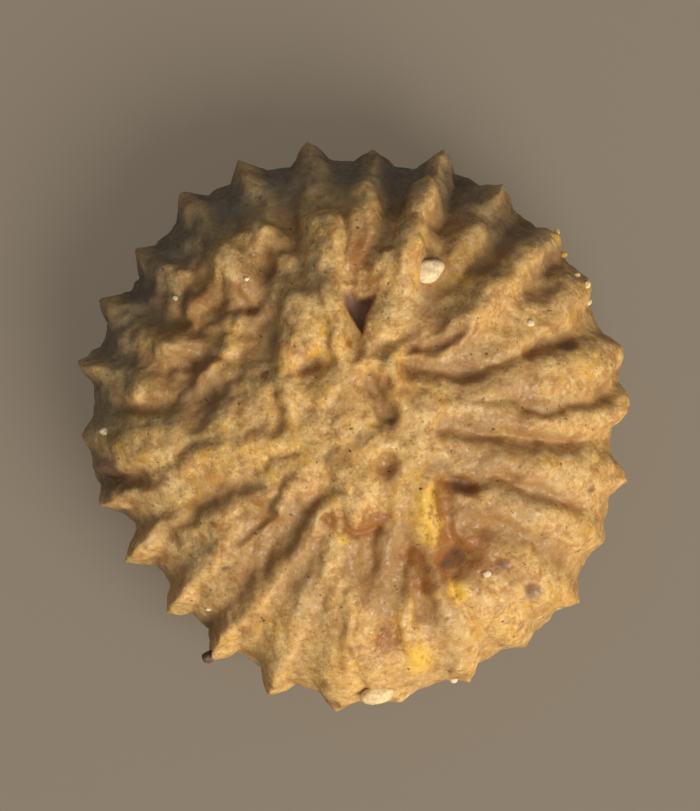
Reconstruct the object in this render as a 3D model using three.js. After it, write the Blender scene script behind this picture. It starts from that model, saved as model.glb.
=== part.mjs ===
// A solitary cup coral, one stony piece: a short cup on a flat foot, with a low domed top.
// Ribs run from a lumpy boss in the middle, over the rim, where they end in teeth, and on down the wall.
// Millimetres, +Z up, with the origin under the middle of the coral, on its flat foot.

import * as THREE from "three";
import { mergeVertices } from "three/addons/utils/BufferGeometryUtils.js";

const { degToRad, lerp, smoothstep } = THREE.MathUtils;

// Driving dimensions of the skin, which is the floor of the grooves between the ribs.
const FOOT_RADIUS = 1.25;
const RIM_RADIUS = 1.86;
const RIM_HEIGHT = 0.66;
const DOME_HEIGHT = 0.94;
const WALL_BULGE = 0.36;

// The shallow ring-shaped hollow round the boss.
const HOLLOW = { radius: 1.0, width: 0.3, depth: 0.04 };

// How far the ribs stand out of the grooves on the shoulder, at full strength, and on the wall, and the
// lengths over which they rise at the rim, at their inner ends and above the foot.
const SHOULDER_RELIEF = 0.16;
const WALL_RELIEF = 0.1;
const SHOULDER_RISE = 0.5;
const RIB_FADE = 0.18;
const FOOT_FADE = 0.25;

// Each rib: the radius at the rim of the groove on its anticlockwise side, its strength on the shoulder,
// and its crest from its tip to its inner end, as bearings in degrees, anticlockwise from +X, and radii
// in millimetres.
const RIBS = [
  { groove: 1.925, strength: 0.45, crest: [[6, 1.99], [1.6, 1.77], [1.5, 1.13], [8, 0.84], [13, 0.64]] },
  { groove: 1.89, strength: 0.5, crest: [[17, 2.02], [15.5, 1.78], [16, 1.13], [16, 0.94]] },
  { groove: 1.945, strength: 0.55, crest: [[33, 2.0], [30.8, 1.83], [29.2, 1.33], [30, 1.06]] },
  { groove: 1.945, strength: 0.75, crest: [[44.4, 2.02], [45, 1.69], [43.6, 1.42], [37, 0.67]] },
  { groove: 1.98, strength: 0.9, crest: [[59, 2.08], [58, 1.66], [57.4, 1.1], [56.6, 0.86]] },
  { groove: 1.925, strength: 1.2, crest: [[72.2, 2.11], [70.8, 1.63], [72, 1.12], [76, 0.63]] },
  { groove: 1.93, strength: 1.0, crest: [[86.3, 2.03], [86.4, 1.61], [87.1, 1.41], [88.7, 1.25]] },
  { groove: 1.96, strength: 1.1, crest: [[99.5, 2.1], [99.9, 1.76], [95.8, 1.49], [98.6, 1.3], [99, 0.64]] },
  { groove: 1.995, strength: 1.1, crest: [[113, 2.11], [113.6, 1.87], [112, 1.42], [112.8, 1.27]] },
  { groove: 1.96, strength: 1.1, crest: [[126.7, 2.12], [127, 1.55], [127, 1.37], [125, 1.18]] },
  { groove: 1.89, strength: 1.0, crest: [[140.6, 2.05], [140.3, 1.76], [142.7, 1.59], [143, 1.39]] },
  { groove: 1.93, strength: 0.8, crest: [[153, 2.04], [154.3, 1.63], [153.8, 1.36]] },
  { groove: 1.89, strength: 0.6, crest: [[166.4, 2.05], [170, 1.64], [167, 1.4], [162, 1.18]] },
  { groove: 1.92, strength: 0.55, crest: [[181, 1.98], [184.8, 1.55], [183.8, 1.29], [174, 0.87]] },
  { groove: 1.73, strength: 0.5, crest: [[196, 1.93], [197.2, 1.46], [194.4, 1.22], [191, 0.6]] },
  { groove: 1.73, strength: 0.5, crest: [[209.6, 1.94], [210.3, 1.7], [213.5, 1.46], [216, 0.83]] },
  { groove: 1.775, strength: 0.55, crest: [[224, 1.92], [225, 1.45], [229, 1.01], [228, 0.78]] },
  { groove: 1.815, strength: 0.55, crest: [[238, 2.0], [240.5, 1.79], [244.6, 1.31], [249, 0.8]] },
  { groove: 1.89, strength: 0.45, crest: [[252, 2.0], [255, 1.79], [257, 1.57], [258, 1.12]] },
  { groove: 1.97, strength: 0.45, crest: [[266.3, 2.03], [268, 1.75], [268.3, 1.46], [267, 0.77]] },
  { groove: 1.91, strength: 0.4, crest: [[279, 1.98], [275, 1.75], [274.5, 1.46], [276, 1.06]] },
  { groove: 1.89, strength: 0.45, crest: [[294, 2.0], [297.3, 1.76], [298.3, 1.49], [298, 1.16]] },
  { groove: 1.945, strength: 0.4, crest: [[308, 1.98], [307.5, 1.79], [306.5, 1.59], [306, 1.29]] },
  { groove: 1.89, strength: 0.35, crest: [[322, 2.04], [319.7, 1.81], [317.6, 1.57], [317, 1.37]] },
  { groove: 1.89, strength: 0.4, crest: [[336, 1.95], [334, 1.69], [332.4, 1.43], [331, 1.03]] },
  { groove: 1.825, strength: 0.45, crest: [[350, 1.98], [349.4, 1.73], [348.8, 1.26], [347.6, 0.75]] },
];

// Lumps of the top and gaps between them: place, radius and height, which is below zero for a gap.
const KNOBS = [
  { x: -0.29, y: 0.66, radius: 0.16, height: 0.08 },
  { x: -0.5, y: 0.4, radius: 0.15, height: 0.07 },
  { x: -0.02, y: 0.4, radius: 0.11, height: 0.05 },
  { x: 0.29, y: 0.41, radius: 0.12, height: 0.05 },
  { x: 0.02, y: -0.49, radius: 0.2, height: 0.06 },
  { x: -1.7, y: 0.84, radius: 0.11, height: 0.08 },
  { x: -1.47, y: 0.61, radius: 0.13, height: 0.08 },
  { x: -1.3, y: 1.03, radius: 0.13, height: 0.09 },
  { x: -0.86, y: 1.11, radius: 0.17, height: 0.09 },
  { x: -0.7, y: 1.37, radius: 0.13, height: 0.08 },
  { x: -0.45, y: 0.9, radius: 0.13, height: 0.07 },
  { x: -0.91, y: 0.6, radius: 0.16, height: 0.09 },
  { x: -1.54, y: 0.27, radius: 0.14, height: 0.06 },
  { x: -0.23, y: 0.42, radius: 0.11, height: -0.08 },
  { x: 0.18, y: 0.2, radius: 0.13, height: -0.07 },
  { x: 0.78, y: -0.4, radius: 0.15, height: -0.07 },
  { x: 0.73, y: -0.92, radius: 0.16, height: -0.08 },
  { x: 0.02, y: -0.73, radius: 0.12, height: -0.07 },
  { x: -0.6, y: 0.74, radius: 0.15, height: -0.12 },
  { x: -1.03, y: 0.67, radius: 0.13, height: -0.12 },
  { x: -0.43, y: 1.39, radius: 0.18, height: -0.12 },
  { x: -1.15, y: 0.18, radius: 0.16, height: -0.09 },
  { x: 1.4, y: 1.08, radius: 0.12, height: -0.1 },
];

// The open pit beside the boss: a three-cornered gap with one corner towards the middle.
const PIT = { x: 0.04, y: 0.86, inradius: 0.07, depth: 0.24, slope: 0.07 };
const PIT_SIDES = [90, 210, 330];

// Columns of the mesh across each rib and its groove, and rows up the wall and over the dome.
const COLUMNS_PER_RIB = 6;
const WALL_ROWS = 8;
const DOME_ROWS = 22;
const COLUMNS = RIBS.length * COLUMNS_PER_RIB;

// The skin in section: a wall that bulges out from the foot's edge to the rim, and a quarter ellipse
// from the rim to the top.
const wall = new THREE.QuadraticBezierCurve(
  new THREE.Vector2(FOOT_RADIUS, 0),
  new THREE.Vector2(RIM_RADIUS, WALL_BULGE),
  new THREE.Vector2(RIM_RADIUS, RIM_HEIGHT),
);
const dome = new THREE.EllipseCurve(0, RIM_HEIGHT, RIM_RADIUS, DOME_HEIGHT, 0, Math.PI / 2);

// A rib's bearing at a radius of the top. Inside its inner end it drifts back to its tip's bearing.
function ribBearing({ crest }, radius) {
  const [tipBearing] = crest[0];
  const path = [...crest, [tipBearing, 0]];
  const inner = path.findIndex(([, reach]) => reach <= radius);
  if (inner < 1) {
    return tipBearing;
  }
  const [farBearing, farRadius] = path[inner - 1];
  const [nearBearing, nearRadius] = path[inner];
  return lerp(nearBearing, farBearing, (radius - nearRadius) / (farRadius - nearRadius));
}

// Radius of the skin at the rim under a rib: midway between the grooves on its two sides.
function ribFloor(index) {
  const before = RIBS.at(index - 1).groove;
  return (before + RIBS[index].groove) / 2;
}

// How far a rib stands out of the skin. Its ridge runs from 1 on the crest to 0 in the groove.
function ribRelief(index, ridge, radius, height) {
  const { crest, strength } = RIBS[index];
  const tooth = crest[0][1] - ribFloor(index);
  if (height < RIM_HEIGHT) {
    return lerp(WALL_RELIEF, tooth, height / RIM_HEIGHT) * ridge * smoothstep(height, 0, FOOT_FADE);
  }
  const onShoulder = smoothstep(RIM_RADIUS - radius, 0, SHOULDER_RISE);
  const inner = crest.at(-1)[1];
  const begun = smoothstep(radius, inner - RIB_FADE, inner + RIB_FADE);
  const section = lerp(ridge, smoothstep(ridge, 0, 1), onShoulder);
  return lerp(tooth, SHOULDER_RELIEF * strength, onShoulder) * section * begun;
}

// Height of the lumps, the gaps and the ring-shaped hollow at a place on the top.
function knobRelief(x, y) {
  const fromRing = (Math.hypot(x, y) - HOLLOW.radius) / HOLLOW.width;
  const ring = -HOLLOW.depth * Math.exp(-fromRing * fromRing);
  return KNOBS.reduce((sum, knob) => {
    const distance = Math.hypot(x - knob.x, y - knob.y) / knob.radius;
    return sum + knob.height * Math.exp(-distance * distance);
  }, ring);
}

// Depth of the open pit at a place on the top, full a little inside its three sides.
function pitDepth(x, y) {
  const beyond = PIT_SIDES.map((side) => {
    const across = degToRad(side);
    return (x - PIT.x) * Math.cos(across) + (y - PIT.y) * Math.sin(across) - PIT.inradius;
  });
  return PIT.depth * smoothstep(-Math.max(...beyond), -PIT.slope / 2, PIT.slope / 2);
}

// The whole coral: the skin turned about the axis, with each column set on a rib or in a groove,
// spread out to the outline of the grooves and pushed along the skin's normal by the relief.
function coralGeometry() {
  const profile = [
    new THREE.Vector2(0, 0),
    ...wall.getSpacedPoints(WALL_ROWS),
    ...dome.getSpacedPoints(DOME_ROWS).slice(1),
  ];
  profile.at(-1).x = 0;
  const geometry = new THREE.LatheGeometry(profile, COLUMNS);
  const position = geometry.getAttribute("position");
  const normal = geometry.getAttribute("normal");
  for (let k = 0; k < position.count; k++) {
    const { x: radius, y: height } = profile[k % profile.length];
    const column = Math.floor(k / profile.length) % COLUMNS;
    const index = Math.floor(column / COLUMNS_PER_RIB);
    const next = (index + 1) % RIBS.length;
    const across = (column % COLUMNS_PER_RIB) / COLUMNS_PER_RIB;
    const nearest = across < 0.5 ? index : next;
    const ridge = Math.abs(1 - 2 * across);
    const onTop = height > RIM_HEIGHT;

    const pathRadius = onTop ? radius : Infinity;
    const turn = next === 0 ? 360 : 0;
    const nextBearing = ribBearing(RIBS[next], pathRadius) + turn;
    const bearing = degToRad(lerp(ribBearing(RIBS[index], pathRadius), nextBearing, across));
    const spread = lerp(RIBS[index].groove, ribFloor(nearest), ridge) / RIM_RADIUS;
    let relief = ribRelief(nearest, ridge, radius, height);
    if (onTop) {
      const x = radius * spread * Math.cos(bearing);
      const y = radius * spread * Math.sin(bearing);
      relief += knobRelief(x, y) - pitDepth(x, y);
    }
    const outward = radius > 0 ? Math.hypot(normal.getX(k), normal.getZ(k)) : 0;
    const reach = radius * spread + relief * outward;
    const lift = height + relief * normal.getY(k);
    position.setXYZ(k, reach * Math.cos(bearing), reach * Math.sin(bearing), lift);
  }
  geometry.deleteAttribute("normal");
  geometry.deleteAttribute("uv");
  geometry.computeBoundingBox();
  const middle = geometry.boundingBox.getCenter(new THREE.Vector3());
  geometry.translate(-middle.x, -middle.y, 0);
  return mergeVertices(geometry);
}

const stone = new THREE.MeshStandardMaterial({ color: 0xc99f63, roughness: 0.9, metalness: 0 });

const coral = new THREE.Mesh(coralGeometry(), stone);
coral.name = "coral";

const group = new THREE.Group();
group.add(coral);

export default group;
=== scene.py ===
import math

import bpy
import numpy as np
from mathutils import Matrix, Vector


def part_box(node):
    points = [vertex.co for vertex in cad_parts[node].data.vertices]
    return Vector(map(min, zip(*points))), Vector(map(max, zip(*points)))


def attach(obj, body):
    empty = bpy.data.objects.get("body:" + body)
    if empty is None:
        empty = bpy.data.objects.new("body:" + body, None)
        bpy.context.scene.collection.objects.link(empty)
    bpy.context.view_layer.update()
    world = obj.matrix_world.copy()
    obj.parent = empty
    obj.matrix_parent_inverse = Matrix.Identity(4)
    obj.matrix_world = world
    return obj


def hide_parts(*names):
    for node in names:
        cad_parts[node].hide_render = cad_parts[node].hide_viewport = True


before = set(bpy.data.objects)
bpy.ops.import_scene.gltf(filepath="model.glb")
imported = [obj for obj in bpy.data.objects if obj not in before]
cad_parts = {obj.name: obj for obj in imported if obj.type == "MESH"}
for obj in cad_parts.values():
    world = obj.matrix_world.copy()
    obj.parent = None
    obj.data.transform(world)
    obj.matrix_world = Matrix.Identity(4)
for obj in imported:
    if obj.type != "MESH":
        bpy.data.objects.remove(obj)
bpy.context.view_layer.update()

# Studio
# A pale matt board, faintly lit from below, lies under the coral. One soft round panel shines from the
# front right and a weak even light fills the shadows. The camera looks straight down with a long lens,
# and the picture's scale holds at the level of the rim.
PICTURE_SIZE = (700, 811)
PIXEL = 7.21e-6
MIDDLE_PIXEL = (354, 427)
RIM_LEVEL = 0.66e-3
LENS = 250.0
SENSOR = 36.0
NEAREST_SEEN = 0.001
BOARD_SIDE = 0.4
BOARD_COLOUR = (0.115, 0.099, 0.079, 1.0)
BOARD_ROUGHNESS = 0.9
BOARD_GLOW = (0.135, 0.103, 0.070, 1.0)
BOARD_GLOW_STRENGTH = 1.0
KEY_BEARING = 309.0
KEY_ELEVATION = 42.0
KEY_DISTANCE = 0.09
KEY_WIDTH = 0.07
KEY_POWER = 0.105
KEY_COLOUR = (1.0, 0.925, 0.80)
FILL_COLOUR = (0.72, 0.82, 1.0, 1.0)
FILL_STRENGTH = 0.27

scene = bpy.context.scene
scene.view_settings.view_transform = "Standard"

lens_height = PICTURE_SIZE[1] * PIXEL * LENS / SENSOR
camera_data = bpy.data.cameras.new("camera")
camera_data.lens = LENS
camera_data.sensor_width = SENSOR
camera_data.clip_start = NEAREST_SEEN
camera = bpy.data.objects.new("camera", camera_data)
camera.location = (
    (PICTURE_SIZE[0] / 2 - MIDDLE_PIXEL[0]) * PIXEL,
    (MIDDLE_PIXEL[1] - PICTURE_SIZE[1] / 2) * PIXEL,
    RIM_LEVEL + lens_height,
)
scene.collection.objects.link(camera)
scene.camera = camera

key_data = bpy.data.lights.new("key", "AREA")
key_data.shape = "DISK"
key_data.size = KEY_WIDTH
key_data.energy = KEY_POWER
key_data.color = KEY_COLOUR
key = bpy.data.objects.new("key", key_data)
key_bearing = math.radians(KEY_BEARING)
key_elevation = math.radians(KEY_ELEVATION)
towards_key = Vector((
    math.cos(key_bearing) * math.cos(key_elevation),
    math.sin(key_bearing) * math.cos(key_elevation),
    math.sin(key_elevation),
))
key.location = towards_key * KEY_DISTANCE
key.rotation_euler = towards_key.to_track_quat("Z", "Y").to_euler()
scene.collection.objects.link(key)

world = bpy.data.worlds.new("fill")
world.use_nodes = True
background = world.node_tree.nodes["Background"]
background.inputs["Color"].default_value = FILL_COLOUR
background.inputs["Strength"].default_value = FILL_STRENGTH
scene.world = world


def new_material(name):
    """A new material, with its node tree and its shader."""
    material = bpy.data.materials.new(name)
    material.use_nodes = True
    return material, material.node_tree, material.node_tree.nodes["Principled BSDF"]


board_mesh = bpy.data.meshes.new("board")
half = BOARD_SIDE / 2
board_mesh.from_pydata(
    [(-half, -half, 0), (half, -half, 0), (half, half, 0), (-half, half, 0)], [], [(0, 1, 2, 3)]
)
board = bpy.data.objects.new("board", board_mesh)
board_paint, _, shader = new_material("board_paint")
shader.inputs["Base Color"].default_value = BOARD_COLOUR
shader.inputs["Roughness"].default_value = BOARD_ROUGHNESS
shader.inputs["Emission Color"].default_value = BOARD_GLOW
shader.inputs["Emission Strength"].default_value = BOARD_GLOW_STRENGTH
board_mesh.materials.append(board_paint)
scene.collection.objects.link(board)

# Coral
# The whole skeleton is one stony piece: a low body with a flat foot, a bulging wall and a domed top. Ribs
# run from a lumpy boss out over the rim, where they end in teeth, and a crumbly skin covers all of it.
MM = 0.001

# The section, in millimetres as all the coral's sizes are: the foot, the rim, the dome above it, the
# level towards which the wall's curve is pulled out, and a shallow ring round the boss.
FOOT_RADIUS = 1.25
RIM_RADIUS = 1.86
RIM_HEIGHT = 0.66
DOME_HEIGHT = 0.94
WALL_BULGE = 0.36
HOLLOW = {"radius": 1.0, "width": 0.3, "depth": 0.04}
DOME_STEPS = 400
SECTION_STEPS = 1500

# How far a rib stands out on the shoulder and above the foot, and the most that any relief can be.
SHOULDER_RELIEF = 0.15
WALL_RELIEF = 0.1
RELIEF_LIMIT = 0.36

# Stretches in which a tooth turns into a rib, a rib's inner and outer ends fade, and all fades at the foot.
SHOULDER_RISE = 0.25
RIB_FADE = 0.18
RIDGE_END = 0.08
FOOT_FADE = 0.25

# Half widths: full from this radius outwards, less inside it by this power, but never below this share.
# Then a tooth's half width, how far out a tooth and a groove reach, in half widths, and the depth of
# the grooves' brown and painted shade beside the faintest rib.
WIDTH_RADIUS = 1.5
WIDTH_POWER = 0.7
WIDTH_LEAST = 0.25
TOOTH_WIDTH = 0.10
TOOTH_REACH = 1.3
GROOVE_REACH = 2.4
FAINT_GROOVE_SHADE = 0.4

# The mesh: squares across the top, and rows down the wall and in over the foot.
TOP_CELLS = 256
WALL_ROWS = 24
FOOT_ROWS = 6

# Each rib: radius of the groove on its anticlockwise side at the rim, its strength, its half width, the
# radius where its ridge ends short of the tooth and how far in from the rim it stays sharp, then its
# crest from the tooth's tip to its inner end as bearings in degrees and radii.
RIBS = [
    (1.925, 0.38, 0.145, 1.95, 0.1, [(6, 1.99), (2.6, 1.77), (3.4, 1.49), (3.5, 1.13), (8, 0.84)]),
    (1.89, 0.42, 0.16, 1.95, 0.1, [(17, 2.02), (16.6, 1.78), (17.6, 1.43), (18.5, 1.13), (18.8, 0.94)]),
    (1.945, 0.46, 0.14, 1.95, 0.1, [(33, 2.0), (31.7, 1.83), (32.9, 1.57), (31.3, 1.33), (33.8, 1.06)]),
    (1.945, 1.0, 0.12, 1.95, 0.1, [(44.4, 2.02), (45.8, 1.72), (46, 1.42), (45, 1.1), (44, 0.95)]),
    (1.98, 0.55, 0.085, 1.8, 0.5, [(59, 2.08), (59.6, 1.7), (59.4, 1.48), (59, 1.38)]),
    (1.925, 1.5, 0.095, 1.95, 0.6, [(72.4, 2.11), (73.6, 1.85), (74, 1.58), (73.2, 1.36), (73, 1.2)]),
    (1.93, 1.12, 0.09, 1.85, 0.5, [(86.3, 2.03), (87.3, 1.85), (88.4, 1.65), (89, 1.41), (90.2, 1.25)]),
    (1.96, 0.85, 0.11, 1.65, 0.1,
     [(99.5, 2.1), (100, 1.76), (99, 1.49), (99.5, 1.3), (101, 0.86), (101, 0.64)]),
    (1.995, 0.9, 0.095, 1.65, 0.1,
     [(113, 2.11), (113.8, 1.87), (113.5, 1.62), (112.6, 1.42), (113.4, 1.27)]),
    (1.96, 0.9, 0.095, 1.68, 0.1,
     [(126.7, 2.12), (127.0, 1.79), (127.1, 1.55), (127.1, 1.37), (124.2, 1.18)]),
    (1.89, 0.9, 0.095, 1.62, 0.1, [(140.6, 2.05), (140.0, 1.76), (142.3, 1.59), (142.5, 1.39)]),
    (1.93, 0.8, 0.1, 1.66, 0.1, [(153, 2.04), (153.5, 1.88), (153.5, 1.63), (152.9, 1.36)]),
    (1.89, 0.45, 0.1, 1.75, 0.1, [(166.4, 2.05), (168.0, 1.87), (168.9, 1.64), (165.7, 1.4), (158.7, 1.18)]),
    (1.92, 0.3, 0.115, 1.8, 0.1,
     [(181, 1.98), (181.0, 1.76), (183.3, 1.55), (182.0, 1.29), (175.0, 1.08), (168.3, 0.87)]),
    (1.73, 0.3, 0.085, 1.95, 0.4,
     [(196, 1.93), (194, 1.69), (194, 1.46), (191, 1.22), (188.2, 0.91), (185.8, 0.6)]),
    (1.73, 0.34, 0.085, 1.95, 0.4, [(209.6, 1.94), (207, 1.7), (209, 1.46), (211, 1.25), (212.5, 0.83)]),
    (1.775, 0.36, 0.085, 1.95, 0.4,
     [(224, 1.92), (222, 1.7), (221.5, 1.45), (223, 1.25), (225, 1.01), (224.4, 0.78), (218.7, 0.54)]),
    (1.815, 0.34, 0.085, 1.95, 0.4,
     [(238, 2.0), (237, 1.79), (238.5, 1.55), (240, 1.31), (243.5, 1.03), (245.5, 0.8), (248.9, 0.58)]),
    (1.89, 0.3, 0.085, 1.95, 0.3, [(252, 2.0), (251, 1.79), (252.5, 1.57), (254, 1.34), (254.5, 1.12)]),
    (1.97, 0.3, 0.1, 1.95, 0.1, [(266.3, 2.03), (265.5, 1.75), (265.5, 1.46), (265, 1.17)]),
    (1.91, 0.3, 0.09, 1.95, 0.1, [(279, 1.98), (273.5, 1.75), (272.3, 1.46), (272.7, 1.24), (271.4, 1.06)]),
    (1.89, 0.45, 0.105, 1.95, 0.1, [(294, 2.0), (297.0, 1.76), (297.9, 1.49), (297.9, 1.31), (297.5, 1.16)]),
    (1.945, 0.4, 0.12, 1.95, 0.1, [(308, 1.98), (307.5, 1.79), (306.4, 1.59), (305.5, 1.44), (304.3, 1.29)]),
    (1.89, 0.35, 0.14, 1.95, 0.1, [(322, 2.04), (319.9, 1.81), (317.9, 1.57), (316.3, 1.37)]),
    (1.89, 0.4, 0.15, 1.95, 0.1, [(336, 1.95), (334.7, 1.69), (333.2, 1.43), (332.2, 1.2), (331.0, 1.03)]),
    (1.825, 0.38, 0.155, 1.95, 0.1, [(350, 1.98), (350.4, 1.73), (350.6, 1.47), (350.3, 1.26), (350, 0.95)]),
]

# Lumps and gaps of the top: place, half length, half width, turn in degrees, and height, which is
# below zero for a gap.
LUMPS = [
    # The boss and the gaps round it.
    (0.48, 0.17, 0.22, 0.11, -10, 0.05),
    (0.19, 0.14, 0.13, 0.07, -75, -0.09),
    (0.26, 0.42, 0.14, 0.07, 80, 0.06),
    (0.10, 0.34, 0.13, 0.07, -75, -0.09),
    (0.08, 0.51, 0.07, 0.06, 20, 0.05),
    (0.02, 0.64, 0.1, 0.05, 90, -0.03),
    (-0.04, 0.43, 0.1, 0.09, 0, 0.045),
    (-0.14, 0.58, 0.1, 0.05, 20, 0.03),
    (-0.06, 0.17, 0.15, 0.09, 70, 0.046),
    (-0.29, 0.49, 0.15, 0.07, 38, -0.09),
    (-0.21, 0.29, 0.12, 0.09, 60, 0.055),
    (-0.49, 0.36, 0.27, 0.08, 93, 0.091),
    (-0.64, 0.27, 0.14, 0.09, 30, 0.039),
    (-0.64, -0.14, 0.2, 0.1, 25, 0.03),
    (-0.52, -0.26, 0.11, 0.08, 35, 0.04),
    (-0.12, -0.24, 0.1, 0.09, 0, 0.05),
    (0.02, -0.47, 0.19, 0.16, 0, 0.078),
    (0.17, -0.52, 0.24, 0.09, 88, -0.055),
    (0.09, -0.12, 0.1, 0.09, 0, 0.046),
    (0.21, -0.22, 0.08, 0.07, 0, -0.08),
    (0.55, -0.26, 0.1, 0.07, 0, -0.04),
    # Right.
    (1.05, -0.98, 0.14, 0.06, -30, -0.03),
    (1.25, -1.12, 0.05, 0.05, 0, -0.02),
    (0.93, -0.64, 0.16, 0.06, -25, -0.02),
    (0.87, -0.45, 0.1, 0.07, 0, 0.04),
    (0.74, -0.38, 0.13, 0.05, 0, -0.09),
    (0.84, 0.22, 0.12, 0.07, 10, 0.035),
    (1.28, 0.96, 0.14, 0.07, 25, -0.05),
    (1.33, 1.16, 0.14, 0.07, 35, -0.07),
    (0.98, 0.92, 0.42, 0.15, 45, 0.05),
    # Back right.
    (0.68, 0.87, 0.25, 0.08, 52, 0.05),
    (0.51, 0.67, 0.1, 0.05, 50, 0.03),
    (0.90, 1.39, 0.32, 0.15, 57, -0.015),
    (0.25, 0.97, 0.34, 0.14, 72, 0.095),
    (0.22, 1.21, 0.16, 0.09, 75, 0.075),
    (0.16, 1.22, 0.14, 0.06, 85, 0.04),
    (0.07, 1.07, 0.09, 0.08, 0, 0.03),
    (0.02, 1.25, 0.13, 0.07, 85, -0.05),
    # Back left, where the top is broken.
    (-0.09, 1.10, 0.12, 0.06, 95, 0.02),
    (-0.12, 1.13, 0.45, 0.09, 93, 0.035),
    (-0.31, 1.72, 0.07, 0.06, 0, 0.048),
    (-0.30, 1.16, 0.28, 0.08, 97, 0.06),
    (-0.26, 0.91, 0.12, 0.1, 0, 0.06),
    (-0.32, 0.98, 0.13, 0.1, 100, 0.06),
    (-0.49, 1.33, 0.26, 0.08, 87, -0.06),
    (-0.49, 1.18, 0.06, 0.05, 0, 0.034),
    (-0.76, 1.72, 0.06, 0.05, 0, 0.041),
    (-0.34, 0.76, 0.22, 0.13, -55, 0.1),
    (-0.63, 1.40, 0.07, 0.07, 0, 0.041),
    (-0.45, 0.85, 0.25, 0.1, 118, 0.085),
    (-0.52, 0.97, 0.16, 0.07, -30, 0.041),
    (-0.63, 1.17, 0.1, 0.07, 80, -0.025),
    (-0.75, 1.35, 0.09, 0.07, 20, 0.048),
    (-0.87, 1.18, 0.15, 0.1, -10, 0.055),
    (-1.08, 1.44, 0.12, 0.07, -55, 0.06),
    (-0.60, 0.78, 0.22, 0.08, 90, -0.055),
    (-0.73, 0.94, 0.14, 0.08, 60, -0.085),
    (-0.78, 0.79, 0.1, 0.07, 20, 0.034),
    (-1.27, 1.08, 0.09, 0.09, 90, 0.05),
    (-1.36, 1.12, 0.09, 0.06, -30, 0.041),
    (-1.18, 0.91, 0.18, 0.08, 75, -0.06),
    (-1.06, 0.81, 0.13, 0.07, 60, -0.09),
    (-0.91, 0.60, 0.2, 0.08, 50, 0.05),
    (-1.29, 0.75, 0.13, 0.08, 40, -0.068),
    (-1.44, 0.79, 0.12, 0.07, 0, -0.034),
    (-1.70, 0.84, 0.09, 0.08, 0, 0.048),
    (-1.29, 0.56, 0.12, 0.06, 10, 0.027),
    (-1.53, 0.66, 0.11, 0.09, -10, 0.045),
    (-1.07, 0.38, 0.1, 0.06, 45, 0.027),
    (-1.65, 0.49, 0.12, 0.05, 0, -0.02),
    (-1.28, 0.36, 0.27, 0.11, 45, -0.105),
    # Left.
    (-1.08, 0.28, 0.16, 0.08, 30, -0.03),
    (-1.83, 0.43, 0.08, 0.06, 0, 0.034),
    (-1.54, 0.27, 0.18, 0.08, 10, 0.027),
    (-0.93, 0.12, 0.12, 0.09, 20, 0.03),
    (-1.12, 0.10, 0.12, 0.07, 45, -0.045),
    (-1.58, 0.13, 0.14, 0.05, 0, -0.027),
    (-0.86, 0.02, 0.14, 0.08, 20, 0.04),
    (-1.22, 0.02, 0.1, 0.08, 60, 0.014),
    (-1.51, 0.02, 0.14, 0.09, 0, 0.04),
    (-1.00, -0.09, 0.13, 0.1, 40, 0.03),
    (-1.54, -0.14, 0.2, 0.1, -15, 0.04),
    (-1.18, -0.20, 0.14, 0.1, 40, 0.02),
    (-1.64, -0.35, 0.22, 0.06, 0, -0.09),
    (-0.93, -0.27, 0.12, 0.08, 30, 0.035),
    (-1.25, -0.45, 0.14, 0.09, 60, 0.02),
    (-0.89, -0.70, 0.14, 0.1, 20, 0.06),
    # Front.
    (-0.18, -1.02, 0.2, 0.06, 88, 0.045),
    (-0.03, -1.36, 0.28, 0.06, 90, 0.05),
    (0.08, -0.90, 0.2, 0.07, 85, -0.08),
    (0.36, -1.38, 0.4, 0.07, -77, 0.04),
    (0.31, -0.99, 0.26, 0.07, 85, -0.09),
    (0.68, -1.10, 0.16, 0.06, 85, -0.04),
    (0.73, -0.92, 0.14, 0.11, 0, -0.06),
    (0.53, -0.55, 0.26, 0.07, 95, 0.04),
]

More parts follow.
